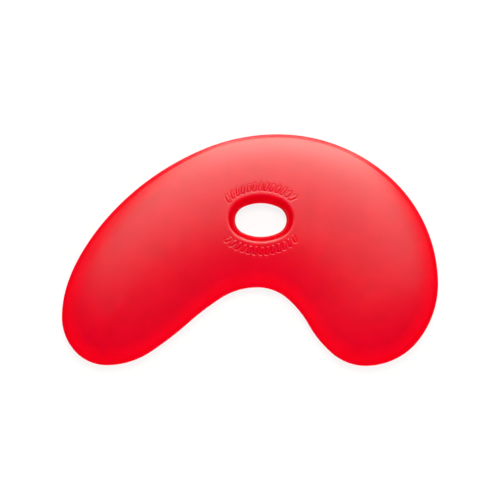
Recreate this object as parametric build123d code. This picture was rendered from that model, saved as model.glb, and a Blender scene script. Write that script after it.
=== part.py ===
from build123d import *
from collections import namedtuple
import math
import os

# Pottery rib: a soft, flexible blade for shaping and smoothing the inside of bowls on the wheel.
# It is moulded in one piece and has no moving part. It lies flat, with +X along its length,
# +Y towards its long curved back and +Z through its thickness, and the origin is on the
# underside, below the middle of the outline. All sizes are in millimetres.

# Outline, seen from above
BLADE_LENGTH = 165.0
BLADE_WIDTH = 103.7

# Cross-section: a crowned upper face over an underside that is flat but for its tapered edge
BLADE_THICKNESS = 6.4       # over the middle
EDGE_RADIUS = 0.8           # under the thin edge that works the clay, and its height over that
EDGE_CHAMFER = 0.5          # on top of that edge
CROWN_REACH = 38.0          # from the outline in to where the crown of the upper face levels out
UNDERSIDE_TAPER = 13.5      # from the outline in to where the underside is flat

# Finger hole, measured at its waist halfway through the blade
HOLE_LENGTH = 22.6
HOLE_WIDTH = 15.0
HOLE_DRAFT = 30.0           # degrees that the wall leans out towards each face
HOLE_WAIST_RADIUS = 0.4
HOLE_LIP_RADIUS = 3.5

# Room for the cuts: how far the hole's cutter runs past each face, and how far the blank stands
# above the crown. The heights of the crown are set at spots this far apart.
OVERRUN = 2.0
BLANK_ROOM = 0.5
CROWN_SPACING = 3.5

# A loop runs clockwise through its stations. Each station has its place, as shares of half the
# loop's length and width from the middle, and the direction of the loop there, in degrees.
Station = namedtuple("Station", "x y heading")
OUTLINE_SHARES = {
    "back": Station(0.148, 1.000, 0),
    "right side": Station(1.000, -0.284, -90),
    "right lobe": Station(0.608, -1.000, 180),
    "right flank": Station(0.308, -0.650, 119),
    "notch": Station(0.038, -0.334, 180),
    "left flank": Station(-0.328, -0.636, -138),
    "left lobe": Station(-0.758, -0.994, 180),
    "left side": Station(-1.000, -0.576, 90),
    "lower back": Station(-0.916, -0.080, 62),
    "upper back": Station(-0.586, 0.550, 39),
}
HOLE_SHARES = {
    "far side": Station(0, 1, 0),
    "right end": Station(1, 0, -90),
    "near side": Station(0, -1, 180),
    "left end": Station(-1, 0, 90),
}

# Centre of the hole, as shares of half the blade's length and width from the middle
HOLE_CENTRE_SHARES = (0.056, 0.248)


def arc_pair(start, start_heading, end, end_heading):
    """Two arcs from start to end, tangent to both headings and to each other."""
    start_way = Vector(1, 0).rotate(Axis.Z, start_heading)
    end_way = Vector(1, 0).rotate(Axis.Z, end_heading)
    chord = end - start
    turn = 2 * (1 - start_way.dot(end_way))
    along = chord.dot(start_way + end_way)
    reach = (math.sqrt(along**2 + turn * chord.dot(chord)) - along) / turn
    first_corner = start + start_way * reach
    second_corner = end - end_way * reach
    join = (first_corner + second_corner) / 2
    return [
        TangentArc(start, join, tangent=start_way),
        TangentArc(join, end, tangent=second_corner - first_corner),
    ]


def smooth_loop(station_shares, length, width):
    """Closed loop of tangent arcs through the stations, length by width over all."""
    stops = [
        (Vector(station.x * length / 2, station.y * width / 2), station.heading)
        for station in station_shares.values()
    ]
    arcs = []
    for stop, next_stop in zip(stops, stops[1:] + stops[:1]):
        arcs += arc_pair(*stop, *next_stop)
    return Wire(arcs)


def edge_section():
    """Section of the blank's edge: X is zero on the outline and points outwards, Y is up.

    The underside's taper ends in the lower quarter of the nose, with an upright wall over it.
    """
    half = BLADE_THICKNESS / 2
    run = UNDERSIDE_TAPER - EDGE_RADIUS
    drop = half - EDGE_RADIUS
    taper_radius = EDGE_RADIUS + (run**2 + drop**2) / (2 * drop)
    slope = math.asin(run / (taper_radius - EDGE_RADIUS))
    flat_end = (-UNDERSIDE_TAPER, -half)
    taper_end = (EDGE_RADIUS * (math.sin(slope) - 1), -EDGE_RADIUS * math.cos(slope))
    top = half + BLANK_ROOM
    return make_face([
        TangentArc(flat_end, taper_end, tangent=(1, 0)),
        TangentArc(taper_end, (0, 0), tangent=(math.cos(slope), math.sin(slope))),
        Polyline((0, 0), (0, top), (-UNDERSIDE_TAPER, top), flat_end),
    ])


def blade_blank():
    """The blade before its crown and its hole: a web, with the edge swept round the outline."""
    outline = smooth_loop(OUTLINE_SHARES, BLADE_LENGTH, BLADE_WIDTH)
    web_outline = offset(make_face(outline), -UNDERSIDE_TAPER)
    web = extrude(Pos(0, 0, -BLADE_THICKNESS / 2) * web_outline, BLADE_THICKNESS + BLANK_ROOM)
    at_back = Plane(outline @ 0, x_dir=(0, 1, 0), z_dir=(1, 0, 0))
    edge = sweep(at_back * edge_section(), path=outline)
    return web + edge


def crown_height(depth):
    """Height of the upper face over the middle plane, this far in from the outline."""
    rise = BLADE_THICKNESS / 2 - EDGE_RADIUS
    if depth < 0:
        return EDGE_RADIUS + 3 * rise * depth / CROWN_REACH
    return BLADE_THICKNESS / 2 - rise * max(0, 1 - depth / CROWN_REACH) ** 3


def crown_face():
    """Upper face: low at the outline, and rising in a smooth arc to the middle of the blade."""
    outline = smooth_loop(OUTLINE_SHARES, BLADE_LENGTH, BLADE_WIDTH)
    blade_area = make_face(outline)
    columns = round(BLADE_LENGTH / CROWN_SPACING) + 3
    rows = round(BLADE_WIDTH / CROWN_SPACING) + 3
    spots = []
    for place in GridLocations(CROWN_SPACING, CROWN_SPACING, columns, rows):
        spot = place.position
        depth = outline.distance_to(spot)
        if not blade_area.is_inside(spot):
            depth = -depth
        spots.append(spot + Vector(0, 0, crown_height(depth)))
    grid = [spots[start:start + rows] for start in range(0, len(spots), rows)]
    return Face.make_surface_from_array_of_points(grid, tol=0.01, min_deg=3, max_deg=3)


def crowned_blank():
    """The blank cut down to its crown, with the crown's sharp outer edge taken off."""
    above_crown = extrude(crown_face(), BLADE_THICKNESS, dir=(0, 0, 1))
    blank = blade_blank() - above_crown
    crown = blank.faces().sort_by(Axis.Z)[-1]
    return chamfer(crown.outer_wire().edges(), EDGE_CHAMFER)


def hole_cutter():
    """Room for a finger: narrowest at a rounded waist, and opening out to both faces."""
    waist = make_face(smooth_loop(HOLE_SHARES, HOLE_LENGTH, HOLE_WIDTH))
    cutter = extrude(waist, BLADE_THICKNESS / 2 + OVERRUN, both=True, taper=-HOLE_DRAFT)
    waist_ring = cutter.edges().filter_by(Plane.XY).group_by(Axis.Z)[1]
    return fillet(waist_ring, HOLE_WAIST_RADIUS)


def hole_rims(blade, hole_centre):
    """Edges where the hole opens in the two faces."""
    half = BLADE_THICKNESS / 2
    spread = half * math.tan(math.radians(HOLE_DRAFT))
    rims = []
    for edge in blade.edges():
        place = edge.center() - hole_centre
        along_hole = abs(place.X) < HOLE_LENGTH / 2 + spread
        across_hole = abs(place.Y) < HOLE_WIDTH / 2 + spread
        if along_hole and across_hole and abs(place.Z) > 0.75 * half:
            rims.append(edge)
    return rims


def rib_blade():
    """The whole rib, resting on its underside."""
    x_share, y_share = HOLE_CENTRE_SHARES
    hole_centre = Vector(x_share * BLADE_LENGTH / 2, y_share * BLADE_WIDTH / 2)
    blade = crowned_blank() - Pos(hole_centre) * hole_cutter()
    blade = fillet(hole_rims(blade, hole_centre), HOLE_LIP_RADIUS)
    return Pos(0, 0, BLADE_THICKNESS / 2) * blade


os.makedirs("parts", exist_ok=True)
export_step(rib_blade(), "parts/rib_blade.step")
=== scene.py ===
import math
from collections import namedtuple

import bmesh
import bpy
import numpy as np
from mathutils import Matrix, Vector
from mathutils.geometry import delaunay_2d_cdt
from mathutils.kdtree import KDTree


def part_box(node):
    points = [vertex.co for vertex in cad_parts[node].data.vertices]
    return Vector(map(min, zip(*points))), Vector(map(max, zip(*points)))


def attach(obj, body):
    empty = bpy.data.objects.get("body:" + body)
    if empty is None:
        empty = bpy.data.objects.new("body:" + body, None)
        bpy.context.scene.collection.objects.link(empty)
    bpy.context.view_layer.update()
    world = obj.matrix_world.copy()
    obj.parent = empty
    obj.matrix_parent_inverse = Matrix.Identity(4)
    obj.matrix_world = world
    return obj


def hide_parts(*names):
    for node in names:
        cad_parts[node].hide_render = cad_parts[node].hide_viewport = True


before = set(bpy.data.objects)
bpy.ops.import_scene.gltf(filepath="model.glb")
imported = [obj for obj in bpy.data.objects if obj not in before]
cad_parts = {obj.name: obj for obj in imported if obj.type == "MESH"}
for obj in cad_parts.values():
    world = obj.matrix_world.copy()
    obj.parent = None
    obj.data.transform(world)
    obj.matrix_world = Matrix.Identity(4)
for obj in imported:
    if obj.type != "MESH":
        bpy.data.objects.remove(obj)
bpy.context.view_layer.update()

# The visual model of a pottery rib: one soft moulded blade, crowned on top and thin at its edge,
# with an oval finger hole. It lies on its flat underside, as in the frame. Lengths are in metres.
MM = 0.001

# The blade's size, from the frame
LOW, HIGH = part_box("rib_blade")
LENGTH, WIDTH, THICKNESS = HIGH - LOW
MIDDLE = (LOW + HIGH) / 2
HALF = THICKNESS / 2

# Section of the blade, as in the solid
EDGE_RADIUS = 0.8 * MM
CROWN_REACH = 38.0 * MM
UNDERSIDE_TAPER = 13.5 * MM
HOLE_LENGTH = 22.6 * MM
HOLE_WIDTH = 15.0 * MM
HOLE_DRAFT = math.radians(30)
HOLE_WAIST_RADIUS = 0.4 * MM
HOLE_LIP_RADIUS = 3.5 * MM

# Grip marks, raised in two arcs on the band round the finger hole
MARK_HEIGHT = 0.15 * MM
MARK_LENGTH = 2.3 * MM
MARK_WIDTH = 0.85 * MM
MARK_SLOPE_WIDTH = 0.30 * MM
MARK_GROOVE_DEPTH = 0.10 * MM
MARK_GROOVE_WIDTH = 0.6 * MM
MARK_FROM_LIP = 2.9 * MM
MARK_SLANT = math.radians(20)
MARK_PITCH = 2.6 * MM
MARKS_IN_ARC = 13
MARK_BAND = 5.2 * MM

# How finely the blade is divided. Distances are measured from loops of finer points.
ARC_STEPS = 240
RIM_POINTS = 520
FINE_RIM_POINTS = 5200
NOSE_RINGS = 7
EDGE_BAND = 12.0 * MM
EDGE_RINGS = 18
HOLE_POINTS = 720
FINE_HOLE_POINTS = 7200
MARK_RINGS = 36
LIP_RINGS = 9
WAIST_RINGS = 4
NET_PITCH = 1.5 * MM

# How close points count as one, in the mesh and in the net of triangles, and the net's kind:
# triangles over what lies inside the loops
CLOSE = 0.002 * MM
NET_CLOSE = 0.01 * CLOSE
NET_INSIDE = 1

# Stations of the outline and the finger hole, clockwise: shares of half the length and half the
# width from the middle, and the direction of the loop in degrees
Station = namedtuple("Station", "x y heading")
OUTLINE_SHARES = (
    Station(0.148, 1.000, 0),
    Station(1.000, -0.284, -90),
    Station(0.608, -1.000, 180),
    Station(0.308, -0.650, 119),
    Station(0.038, -0.334, 180),
    Station(-0.328, -0.636, -138),
    Station(-0.758, -0.994, 180),
    Station(-1.000, -0.576, 90),
    Station(-0.916, -0.080, 62),
    Station(-0.586, 0.550, 39),
)
HOLE_SHARES = (
    Station(0, 1, 0),
    Station(1, 0, -90),
    Station(0, -1, 180),
    Station(-1, 0, 90),
)
HOLE_CENTRE_SHARES = (0.056, 0.248)
HOLE_CENTRE = np.array([
    MIDDLE.x + HOLE_CENTRE_SHARES[0] * LENGTH / 2,
    MIDDLE.y + HOLE_CENTRE_SHARES[1] * WIDTH / 2,
])

# Points round a loop, and the outward normal at each
Loop = namedtuple("Loop", "points normals")


def way(degrees):
    """Unit vector in the direction given."""
    angle = math.radians(degrees)
    return np.array([math.cos(angle), math.sin(angle)])


def arc_points(start, start_way, end):
    """Points on the arc that leaves start along start_way and meets end, with their normals."""
    left = np.array([-start_way[1], start_way[0]])
    chord = end - start
    radius = chord @ chord / (2 * chord @ left)
    centre = start + radius * left
    first, last = start - centre, end - centre
    turn = math.atan2(first[0] * last[1] - first[1] * last[0], first @ last)
    angles = turn * np.arange(ARC_STEPS) / ARC_STEPS
    cosine, sine = np.cos(angles), np.sin(angles)
    spoke = np.column_stack([
        first[0] * cosine - first[1] * sine,
        first[0] * sine + first[1] * cosine,
    ])
    return centre + spoke, -spoke / radius


def smooth_loop(stations, length, width, centre, count):
    """Evenly spaced points and normals of a loop of tangent arcs, anticlockwise."""
    places = [centre + np.array([s.x * length / 2, s.y * width / 2]) for s in stations]
    ways = [way(s.heading) for s in stations]
    points, normals = [], []
    for index, start in enumerate(places):
        following = (index + 1) % len(places)
        end, start_way, end_way = places[following], ways[index], ways[following]
        chord = end - start
        turn = 2 * (1 - start_way @ end_way)
        along = chord @ (start_way + end_way)
        reach = (math.sqrt(along**2 + turn * chord @ chord) - along) / turn
        first_corner = start + start_way * reach
        second_corner = end - end_way * reach
        join = (first_corner + second_corner) / 2
        join_way = second_corner - first_corner
        join_way /= np.linalg.norm(join_way)
        for arc in ((start, start_way, join), (join, join_way, end)):
            arc_place, arc_normal = arc_points(*arc)
            points.append(arc_place)
            normals.append(arc_normal)
    points, normals = np.concatenate(points), np.concatenate(normals)
    steps = np.linalg.norm(np.roll(points, -1, axis=0) - points, axis=1)
    walked = np.concatenate([[0], np.cumsum(steps)])
    at = np.interp(walked[-1] * np.arange(count) / count, walked, np.arange(len(walked)))
    whole = at.astype(int)
    part = (at - whole)[:, None]
    following = (whole + 1) % len(points)
    points = points[whole] * (1 - part) + points[following] * part
    normals = normals[whole] * (1 - part) + normals[following] * part
    normals /= np.linalg.norm(normals, axis=1, keepdims=True)
    return Loop(points[::-1], normals[::-1])


def outline_loop(count):
    """The blade's outline."""
    return smooth_loop(OUTLINE_SHARES, LENGTH, WIDTH, np.array(MIDDLE.xy), count)


def hole_loop(count):
    """The finger hole at its waist."""
    return smooth_loop(HOLE_SHARES, HOLE_LENGTH, HOLE_WIDTH, HOLE_CENTRE, count)


def beyond(loop, points):
    """How far each point lies outwards from the loop, negative for a point inside it."""
    tree = KDTree(len(loop.points))
    for index, (x, y) in enumerate(loop.points):
        tree.insert((x, y, 0), index)
    tree.balance()
    nearest = np.array([tree.find((x, y, 0))[1] for x, y in points])
    gap = points - loop.points[nearest]
    side = np.sign((gap * loop.normals[nearest]).sum(axis=1))
    return side * np.linalg.norm(gap, axis=1)


def crown_height(depth):
    """Height of the upper face over the middle, this far in from the outline."""
    rise = HALF - EDGE_RADIUS
    crown = HALF - rise * np.clip(1 - depth / CROWN_REACH, 0, 1) ** 3
    nose = np.sqrt(EDGE_RADIUS**2 - np.clip(EDGE_RADIUS - depth, 0, EDGE_RADIUS) ** 2)
    return np.where(depth < EDGE_RADIUS, np.minimum(crown, nose), crown)


def upper_edge():
    """Distances in from the outline and heights over the middle, from the nose up the crown."""
    nose = EDGE_RADIUS * (1 - np.cos(np.linspace(0, math.pi / 2, NOSE_RINGS)))
    rest = np.linspace(EDGE_RADIUS, EDGE_BAND, EDGE_RINGS)[1:]
    inward = np.concatenate([nose, rest])
    return np.column_stack([inward, crown_height(inward)])


def lower_edge():
    """Distances in from the outline and depths below the middle, from the nose to the flat."""
    run = UNDERSIDE_TAPER - EDGE_RADIUS
    drop = HALF - EDGE_RADIUS
    taper_radius = EDGE_RADIUS + (run**2 + drop**2) / (2 * drop)
    slope = math.asin(run / (taper_radius - EDGE_RADIUS))
    nose = np.linspace(0, math.pi / 2 - slope, NOSE_RINGS)
    taper = np.linspace(slope, 0, EDGE_RINGS)[1:]
    inward = np.concatenate([
        EDGE_RADIUS * (1 - np.cos(nose)),
        UNDERSIDE_TAPER - taper_radius * np.sin(taper),
    ])
    height = np.concatenate([
        EDGE_RADIUS * np.sin(nose),
        HALF - taper_radius * (1 - np.cos(taper)),
    ])
    return np.column_stack([inward, height])


def lip_profile():
    """Distances out from the hole's waist and heights over the middle, from lip to waist."""
    waist = HOLE_WAIST_RADIUS * (1 / math.cos(HOLE_DRAFT) - 1)
    reach = HALF * math.tan(HOLE_DRAFT)
    reach += HOLE_LIP_RADIUS * math.tan((math.pi / 2 - HOLE_DRAFT) / 2)
    lip = np.linspace(0, math.pi / 2 - HOLE_DRAFT, LIP_RINGS)
    neck = np.linspace(math.pi / 2 - HOLE_DRAFT, 0, WAIST_RINGS)
    outward = np.concatenate([
        reach - HOLE_LIP_RADIUS * np.sin(lip),
        waist + HOLE_WAIST_RADIUS * (1 - np.cos(neck)),
    ])
    height = np.concatenate([
        HALF - HOLE_LIP_RADIUS * (1 - np.cos(lip)),
        HOLE_WAIST_RADIUS * np.sin(neck),
    ])
    return np.column_stack([outward, height])


def grip_strokes():
    """Ends of the strokes of the two arcs of grip marks, beyond and before the finger hole."""
    hole = hole_loop(HOLE_POINTS)
    middle_line = hole.points + hole.normals * (lip_profile()[0, 0] + MARK_FROM_LIP)
    steps = np.linalg.norm(np.diff(middle_line, axis=0, append=middle_line[:1]), axis=1)
    walked = np.cumsum(steps) - steps
    total = steps.sum()
    strokes = []
    for arc_middle in (0, total / 2):
        for mark in range(MARKS_IN_ARC):
            at = (arc_middle + (mark - (MARKS_IN_ARC - 1) / 2) * MARK_PITCH) % total
            index = np.searchsorted(walked, at) % HOLE_POINTS
            out = hole.normals[index]
            lean = np.array([
                out[0] * math.cos(MARK_SLANT) + out[1] * math.sin(MARK_SLANT),
                out[1] * math.cos(MARK_SLANT) - out[0] * math.sin(MARK_SLANT),
            ])
            lean *= MARK_LENGTH / 2
            strokes.append([middle_line[index] - lean, middle_line[index] + lean])
    return np.array(strokes)


def ridge_height(points, strokes):
    """Height of the raised strokes at each point: flat on top, with a shallow groove round each."""
    start, end = strokes[:, 0], strokes[:, 1]
    along = end - start
    offset = points[:, None] - start[None]
    share = np.clip((offset * along).sum(axis=2) / (along**2).sum(axis=1), 0, 1)
    gap = np.linalg.norm(offset - share[..., None] * along, axis=2).min(axis=1)
    slope = np.clip((MARK_WIDTH / 2 + MARK_SLOPE_WIDTH / 2 - gap) / MARK_SLOPE_WIDTH, 0, 1)
    from_groove = np.abs(gap - (MARK_WIDTH + MARK_SLOPE_WIDTH + MARK_GROOVE_WIDTH) / 2)
    groove = np.clip(1 - from_groove / (MARK_GROOVE_WIDTH / 2), 0, 1)
    ridge = MARK_HEIGHT * slope**2 * (3 - 2 * slope)
    return ridge - MARK_GROOVE_DEPTH * groove**2 * (3 - 2 * groove)


def vertex_places(piece):
    """Places of the piece's vertices, a row each."""
    places = np.empty(3 * len(piece.data.vertices), np.float32)
    piece.data.vertices.foreach_get("co", places)
    return places.reshape(-1, 3).astype(float)


def move_vertices(piece, places):
    piece.data.vertices.foreach_set("co", places.reshape(-1).astype(np.float32))
    piece.data.update()


def ringed_disc(name, points, height, profile):
    """A flat disc inside a loop of points, inset from ring to ring of a profile and opened."""
    bpy.ops.object.select_all(action="DESELECT")
    bpy.ops.mesh.primitive_circle_add(
        vertices=len(points), radius=WIDTH / 2, fill_type="NGON", location=(0, 0, 0),
    )
    piece = bpy.context.object
    piece.name = name
    move_vertices(piece, np.column_stack([points, np.full(len(points), height)]))
    bpy.ops.object.mode_set(mode="EDIT")
    for inward, rise in np.diff(profile, axis=0):
        bpy.ops.mesh.inset(thickness=inward, depth=rise, use_even_offset=True)
    bpy.ops.mesh.delete(type="ONLY_FACE")
    bpy.ops.object.mode_set(mode="OBJECT")
    return piece


def hole_rings(name, band_rings):
    """The finger hole from the face round it over the lip to the waist, with a level face."""
    lip = lip_profile()
    reach = lip[0, 0] + MARK_BAND
    band = np.linspace(MARK_BAND, 0, band_rings + 1)[:-1]
    level = np.column_stack([lip[0, 0] + band, np.full(band_rings, HALF)])
    section = np.concatenate([level, lip])
    hole = hole_loop(HOLE_POINTS)
    profile = np.column_stack([reach - section[:, 0], section[:, 1]])
    return ringed_disc(name, hole.points + hole.normals * reach, HALF, profile)


def shape_crown(piece):
    """Lowers level rings onto the crown of the upper face, and raises the grip marks on them."""
    places = vertex_places(piece)
    depth = -beyond(outline_loop(FINE_RIM_POINTS), places[:, :2])
    level = places[:, 2] > HALF - CLOSE
    places[:, 2] *= crown_height(depth) / HALF
    places[level, 2] += ridge_height(places[level, :2], grip_strokes())
    move_vertices(piece, places)


def joined(pieces):
    """The pieces as one object, open in edit mode, with the loose loops of their faces selected."""
    bpy.ops.object.select_all(action="DESELECT")
    for piece in pieces:
        piece.select_set(True)
    bpy.context.view_layer.objects.active = pieces[0]
    bpy.ops.object.join()
    bpy.ops.object.mode_set(mode="EDIT")
    bpy.ops.mesh.select_all(action="DESELECT")
    mesh = bmesh.from_edit_mesh(pieces[0].data)
    for edge in mesh.edges:
        edge.select_set(edge.is_boundary and edge.verts[0].co.z > CLOSE)
    bmesh.update_edit_mesh(pieces[0].data)
    return pieces[0]


def beyond_rings(points):
    """How far each point lies outwards from the rings round the finger hole."""
    return beyond(hole_loop(HOLE_POINTS), points) - lip_profile()[0, 0] - MARK_BAND


def net_points():
    """An even net of points over the face between the edge's rings and the hole's rings."""
    row_pitch = NET_PITCH * math.sqrt(3) / 2
    x, y = np.meshgrid(np.arange(LOW.x, HIGH.x, NET_PITCH), np.arange(LOW.y, HIGH.y, row_pitch))
    x[1::2] += NET_PITCH / 2
    points = np.column_stack([x.ravel(), y.ravel()])
    points = points[-beyond(outline_loop(RIM_POINTS), points) > EDGE_BAND + NET_PITCH / 2]
    return points[beyond_rings(points) > NET_PITCH / 2]


def cover_crown(piece):
    """Covers the crown between its two selected loops with an even net of triangles."""
    mesh = bmesh.from_edit_mesh(piece.data)
    loops = [edge for edge in mesh.edges if edge.select]
    vertices = list(dict.fromkeys(vertex for edge in loops for vertex in edge.verts))
    number = {vertex: index for index, vertex in enumerate(vertices)}
    edges = [tuple(number[vertex] for vertex in edge.verts) for edge in loops]
    points = net_points()
    heights = crown_height(-beyond(outline_loop(FINE_RIM_POINTS), points))
    places = [vertex.co.xy for vertex in vertices] + [Vector(point) for point in points]
    on_hole = beyond_rings(np.array(places)) < NET_PITCH / 4
    triangles = delaunay_2d_cdt(places, edges, [], NET_INSIDE, NET_CLOSE)[2]
    for (x, y), z in zip(points, heights):
        vertices.append(mesh.verts.new((x, y, z)))
    for triangle in triangles:
        if not all(on_hole[corner] for corner in triangle):
            mesh.faces.new([vertices[corner] for corner in triangle])
    bmesh.update_edit_mesh(piece.data)
    bpy.ops.object.mode_set(mode="OBJECT")


def make_blade():
    """The blade as one closed mesh: its crowned upper half joined to its flat lower half."""
    points = outline_loop(RIM_POINTS).points
    upper_hole = hole_rings("upper_hole", MARK_RINGS)
    shape_crown(upper_hole)
    upper = joined([ringed_disc("blade", points, 0, upper_edge()), upper_hole])
    cover_crown(upper)
    lower = joined([ringed_disc("lower", points, 0, lower_edge()), hole_rings("lower_hole", 1)])
    bpy.ops.mesh.fill(use_beauty=True)
    bpy.ops.mesh.select_all(action="SELECT")
    bpy.ops.transform.resize(value=(1, 1, -1), center_override=(0, 0, 0))
    bpy.ops.object.mode_set(mode="OBJECT")
    blade = joined([upper, lower])
    bpy.ops.mesh.select_all(action="SELECT")
    bpy.ops.mesh.remove_doubles(threshold=CLOSE)
    bpy.ops.mesh.normals_make_consistent(inside=False)
    bpy.ops.object.mode_set(mode="OBJECT")
    blade.location.z = MIDDLE.z
    bpy.ops.object.transform_apply(location=True, rotation=False, scale=False)
    bpy.ops.object.shade_smooth()
    return blade


# Skin of the moulding: a clear red, with a painted glow in the thin edge, a brighter red where
# light comes through, and a painted shade in the wall of the finger hole, a deeper red, where the
# wall is also dull. The wall ends where its lip turns to the face, at these distances from the
# waist. Over all lie a faint cloudiness and a fine satin grain.
DEEP_RED = (0.76, 0.0004, 0.019, 1)
PAINTED_EDGE_GLOW_RED = (1.0, 0.0003, 0.014, 1)
PAINTED_WALL_SHADE_RED = (0.69, 0.0002, 0.008, 1)
PAINTED_GLOW_REACH = 8 * MM
WALL_START = 3.0 * MM
WALL_END = 2.6 * MM
FACE_SHINE = 0.5
WALL_SHINE = 0.06
CLOUD_SIZE = 9 * MM
CLOUD_DETAIL = 4
CLOUD_RANGE = (0.95, 1.05)
CLOUD_BUMP = 0.04 * MM
GRAIN_SIZE = 0.5 * MM
GRAIN_DETAIL = 2
GRAIN_BUMP = 0.0015 * MM
ROUGHNESS_RANGE = (0.19, 0.24)
GLOW_RADIUS = (1.0, 0.06, 0.05)
GLOW_DEPTH = 6 * MM

# Most of the noise lies between these two values
NOISE_LOW = 0.3
NOISE_HIGH = 0.7


def keep_distances(piece):
    """Keeps how far each vertex lies in from the outline and out from the hole's waist."""
    places = vertex_places(piece)[:, :2]
    distances = {
        "from_edge": -beyond(outline_loop(FINE_RIM_POINTS), places),
        "from_hole": beyond(hole_loop(FINE_HOLE_POINTS), places),
    }
    for name, distance in distances.items():
        attribute = piece.data.attributes.new(name, "FLOAT", "POINT")
        attribute.data.foreach_set("value", distance.astype(np.float32))


def noise(nodes, links, size, detail):
    """Noise over the object's own coordinates, with spots of about this size."""
    coordinates = nodes.new("ShaderNodeTexCoord")
    texture = nodes.new("ShaderNodeTexNoise")
    texture.inputs["Scale"].default_value = 1 / size
    texture.inputs["Detail"].default_value = detail
    links.new(coordinates.outputs["Object"], texture.inputs["Vector"])
    return texture.outputs["Fac"]


def kept_distance(nodes, name):
    """One of the distances kept on the blade."""
    node = nodes.new("ShaderNodeAttribute")
    node.attribute_name = name
    return node.outputs["Fac"]


def spread(nodes, links, value, low, high, start=NOISE_LOW, end=NOISE_HIGH):
    """The value from start to end, spread over the range from low to high."""
    node = nodes.new("ShaderNodeMapRange")
    node.inputs["From Min"].default_value = start
    node.inputs["From Max"].default_value = end
    node.inputs["To Min"].default_value = low
    node.inputs["To Max"].default_value = high
    links.new(value, node.inputs["Value"])
    return node.outputs["Result"]


def mix_towards(nodes, links, factor, colour):
    """A mix from its input A, which is still to be given, to the colour."""
    node = nodes.new("ShaderNodeMix")
    node.data_type = "RGBA"
    node.inputs["B"].default_value = colour
    links.new(factor, node.inputs["Factor"])
    return node


def blade_material():
    """Soft cast polyurethane: clear red that glows where it is thin, by its subsurface light and by
    a painted glow, with a painted shade in the wall of the finger hole and a satin skin.
    """
    material = bpy.data.materials.new("soft_red_rubber")
    material.use_nodes = True
    nodes, links = material.node_tree.nodes, material.node_tree.links
    shader = nodes["Principled BSDF"]
    cloud = noise(nodes, links, CLOUD_SIZE, CLOUD_DETAIL)
    grain = noise(nodes, links, GRAIN_SIZE, GRAIN_DETAIL)

    from_edge = kept_distance(nodes, "from_edge")
    from_hole = kept_distance(nodes, "from_hole")
    # Painted glow: the thin edge is painted a brighter red, where light comes through it
    past_painted_glow = spread(nodes, links, from_edge, 0, 1, 0, PAINTED_GLOW_REACH)
    on_wall = spread(nodes, links, from_hole, 0, 1, WALL_START, WALL_END)
    face = mix_towards(nodes, links, past_painted_glow, DEEP_RED)
    face.inputs["A"].default_value = PAINTED_EDGE_GLOW_RED
    # Painted shade: the wall of the finger hole is painted a deeper red
    red = mix_towards(nodes, links, on_wall, PAINTED_WALL_SHADE_RED)
    links.new(face.outputs["Result"], red.inputs["A"])
    clouded = nodes.new("ShaderNodeMix")
    clouded.data_type = "RGBA"
    clouded.blend_type = "MULTIPLY"
    clouded.inputs["Factor"].default_value = 1
    links.new(red.outputs["Result"], clouded.inputs["A"])
    links.new(spread(nodes, links, cloud, *CLOUD_RANGE), clouded.inputs["B"])
    links.new(clouded.outputs["Result"], shader.inputs["Base Color"])

    links.new(spread(nodes, links, grain, *ROUGHNESS_RANGE), shader.inputs["Roughness"])
    shine = spread(nodes, links, on_wall, FACE_SHINE, WALL_SHINE, 0, 1)
    links.new(shine, shader.inputs["Specular IOR Level"])
    normal = None
    for height, distance in ((cloud, CLOUD_BUMP), (grain, GRAIN_BUMP)):
        bump = nodes.new("ShaderNodeBump")
        bump.inputs["Distance"].default_value = distance
        links.new(height, bump.inputs["Height"])
        if normal:
            links.new(normal, bump.inputs["Normal"])
        normal = bump.outputs["Normal"]
    links.new(normal, shader.inputs["Normal"])

    shader.inputs["Subsurface Weight"].default_value = 1.0
    shader.inputs["Subsurface Radius"].default_value = GLOW_RADIUS
    shader.inputs["Subsurface Scale"].default_value = GLOW_DEPTH
    return material


# The camera of the photograph: nearly overhead, from the side of the two lobes. Its focal length
# and sensor are in millimetres.
CAMERA_DISTANCE = 0.7
CAMERA_ELEVATION = math.radians(80)
CAMERA_FOCAL_LENGTH = 114.351
CAMERA_SENSOR = 36
CAMERA_TARGET = Vector((-0.14 * MM, -0.60 * MM, 3.2 * MM))


def make_camera():
    data = bpy.data.cameras.new("camera")
    data.lens = CAMERA_FOCAL_LENGTH
    data.sensor_width = CAMERA_SENSOR
    camera = bpy.data.objects.new("camera", data)
    bpy.context.scene.collection.objects.link(camera)
    back = Vector((0, -math.cos(CAMERA_ELEVATION), math.sin(CAMERA_ELEVATION)))
    camera.location = CAMERA_TARGET + back * CAMERA_DISTANCE
    camera.rotation_euler = (-back).to_track_quat("-Z", "Y").to_euler()
    bpy.context.scene.camera = camera


# Each lamp is a soft rectangle that faces the blade: the degrees that it leans from overhead, the
# side it leans to, its size along and across that lean, and its brightness. The softbox stands
# beyond the blade, in strips from high up down to the floor, and the blade reflects it. The fills
# light the blade and have no reflection in it.
Lamp = namedtuple("Lamp", "name lean side along across brightness")
LAMP_DISTANCE = 0.9
SOFTBOX_COLOUR = (1.0, 1.0, 0.88)
FILL_COLOUR = (1.0, 1.0, 1.0)
SOFTBOX_SIDE = (0.10, 0.995)
SOFTBOX = (
    Lamp("softbox_1", 12.2, SOFTBOX_SIDE, 0.07, 0.74, 1.3),
    Lamp("softbox_2", 17.0, SOFTBOX_SIDE, 0.08, 0.74, 2.3),
    Lamp("softbox_3", 22.5, SOFTBOX_SIDE, 0.094, 0.64, 3.3),
    Lamp("softbox_4", 28.3, SOFTBOX_SIDE, 0.087, 0.58, 5.5),
    Lamp("softbox_5", 38.0, SOFTBOX_SIDE, 0.22, 0.50, 9.4),
    Lamp("softbox_6", 62.0, (0, 1), 0.13, 1.00, 3.0),
)
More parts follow.
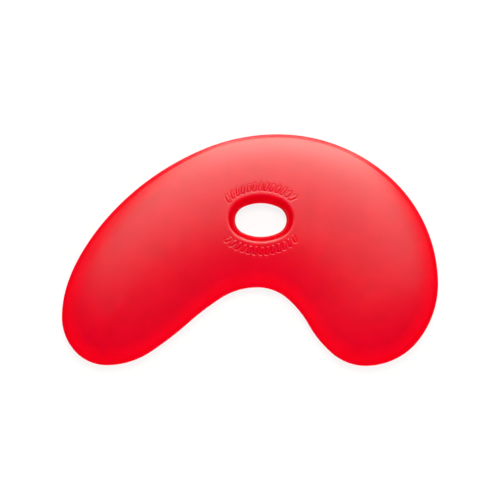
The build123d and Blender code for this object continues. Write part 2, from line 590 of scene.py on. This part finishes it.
FILLS = (
    Lamp("front_fill", 70, (0, -1), 0.25, 1.0, 7.0),
    Lamp("back_fill", 70, (0, 1), 0.25, 1.0, 3.0),
    Lamp("right_fill", 70, (1, 0), 0.25, 0.8, 2.5),
    Lamp("left_fill", 70, (-1, 0), 0.25, 0.8, 2.0),
)
WORLD_LEVEL = 0.16
WHITE = (1, 1, 1, 1)


def make_lights():
    for lamp in SOFTBOX + FILLS:
        data = bpy.data.lights.new(lamp.name, "AREA")
        data.shape = "RECTANGLE"
        data.size = lamp.across
        data.size_y = lamp.along
        data.energy = math.pi * lamp.along * lamp.across * lamp.brightness
        data.color = SOFTBOX_COLOUR if lamp in SOFTBOX else FILL_COLOUR
        light = bpy.data.objects.new(lamp.name, data)
        bpy.context.scene.collection.objects.link(light)
        lean = math.radians(lamp.lean)
        towards = Vector((*Vector(lamp.side) * math.sin(lean), math.cos(lean)))
        light.location = towards * LAMP_DISTANCE
        light.rotation_euler = towards.to_track_quat("Z", "Y").to_euler()
        light.visible_glossy = lamp in SOFTBOX


def make_world():
    """A dim even room that shows white to the camera and has no reflection in the blade."""
    world = bpy.data.worlds.new("studio")
    bpy.context.scene.world = world
    world.cycles_visibility.glossy = False
    world.use_nodes = True
    nodes, links = world.node_tree.nodes, world.node_tree.links
    dim = nodes["Background"]
    dim.inputs["Color"].default_value = WHITE
    dim.inputs["Strength"].default_value = WORLD_LEVEL
    white = nodes.new("ShaderNodeBackground")
    white.inputs["Color"].default_value = WHITE
    rays = nodes.new("ShaderNodeLightPath")
    seen = nodes.new("ShaderNodeMixShader")
    links.new(rays.outputs["Is Camera Ray"], seen.inputs[0])
    links.new(dim.outputs["Background"], seen.inputs[1])
    links.new(white.outputs["Background"], seen.inputs[2])
    links.new(seen.outputs["Shader"], nodes["World Output"].inputs["Surface"])


# White paper under the blade: its own grey, which lights the blade from below, and what the camera
# sees of it, partly lit by the lamps and partly even
FLOOR_SIZE = 4
PAPER_WHITE = 0.85
PAPER_LIT = 0.20
PAPER_EVEN = 0.82


def grey(level):
    return (level, level, level, 1)


def paper_material():
    """White paper that the camera, mirrors and glass see as white, with a light shadow."""
    material = bpy.data.materials.new("white_paper")
    material.use_nodes = True
    nodes, links = material.node_tree.nodes, material.node_tree.links
    paper = nodes["Principled BSDF"]
    paper.inputs["Base Color"].default_value = grey(PAPER_WHITE)
    paper.inputs["Roughness"].default_value = 1.0
    paper.inputs["Specular IOR Level"].default_value = 0.0
    lit = nodes.new("ShaderNodeBsdfDiffuse")
    lit.inputs["Color"].default_value = grey(PAPER_LIT)
    even = nodes.new("ShaderNodeEmission")
    even.inputs["Strength"].default_value = PAPER_EVEN
    white = nodes.new("ShaderNodeAddShader")
    links.new(lit.outputs["BSDF"], white.inputs[0])
    links.new(even.outputs["Emission"], white.inputs[1])
    rays = nodes.new("ShaderNodeLightPath")
    seen = rays.outputs["Is Camera Ray"]
    for kind in ("Is Glossy Ray", "Is Transmission Ray"):
        either = nodes.new("ShaderNodeMath")
        either.operation = "MAXIMUM"
        links.new(seen, either.inputs[0])
        links.new(rays.outputs[kind], either.inputs[1])
        seen = either.outputs["Value"]
    mix = nodes.new("ShaderNodeMixShader")
    links.new(seen, mix.inputs[0])
    links.new(paper.outputs["BSDF"], mix.inputs[1])
    links.new(white.outputs["Shader"], mix.inputs[2])
    links.new(mix.outputs["Shader"], nodes["Material Output"].inputs["Surface"])
    return material


def make_floor():
    bpy.ops.object.select_all(action="DESELECT")
    bpy.ops.mesh.primitive_plane_add(size=FLOOR_SIZE, location=(0, 0, 0))
    floor = bpy.context.object
    floor.name = "floor"
    floor.data.materials.append(paper_material())


blade = make_blade()
keep_distances(blade)
blade.data.materials.append(blade_material())
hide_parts("rib_blade")
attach(blade, "root")

make_floor()
make_lights()
make_world()
make_camera()
bpy.context.scene.view_settings.view_transform = "Standard"
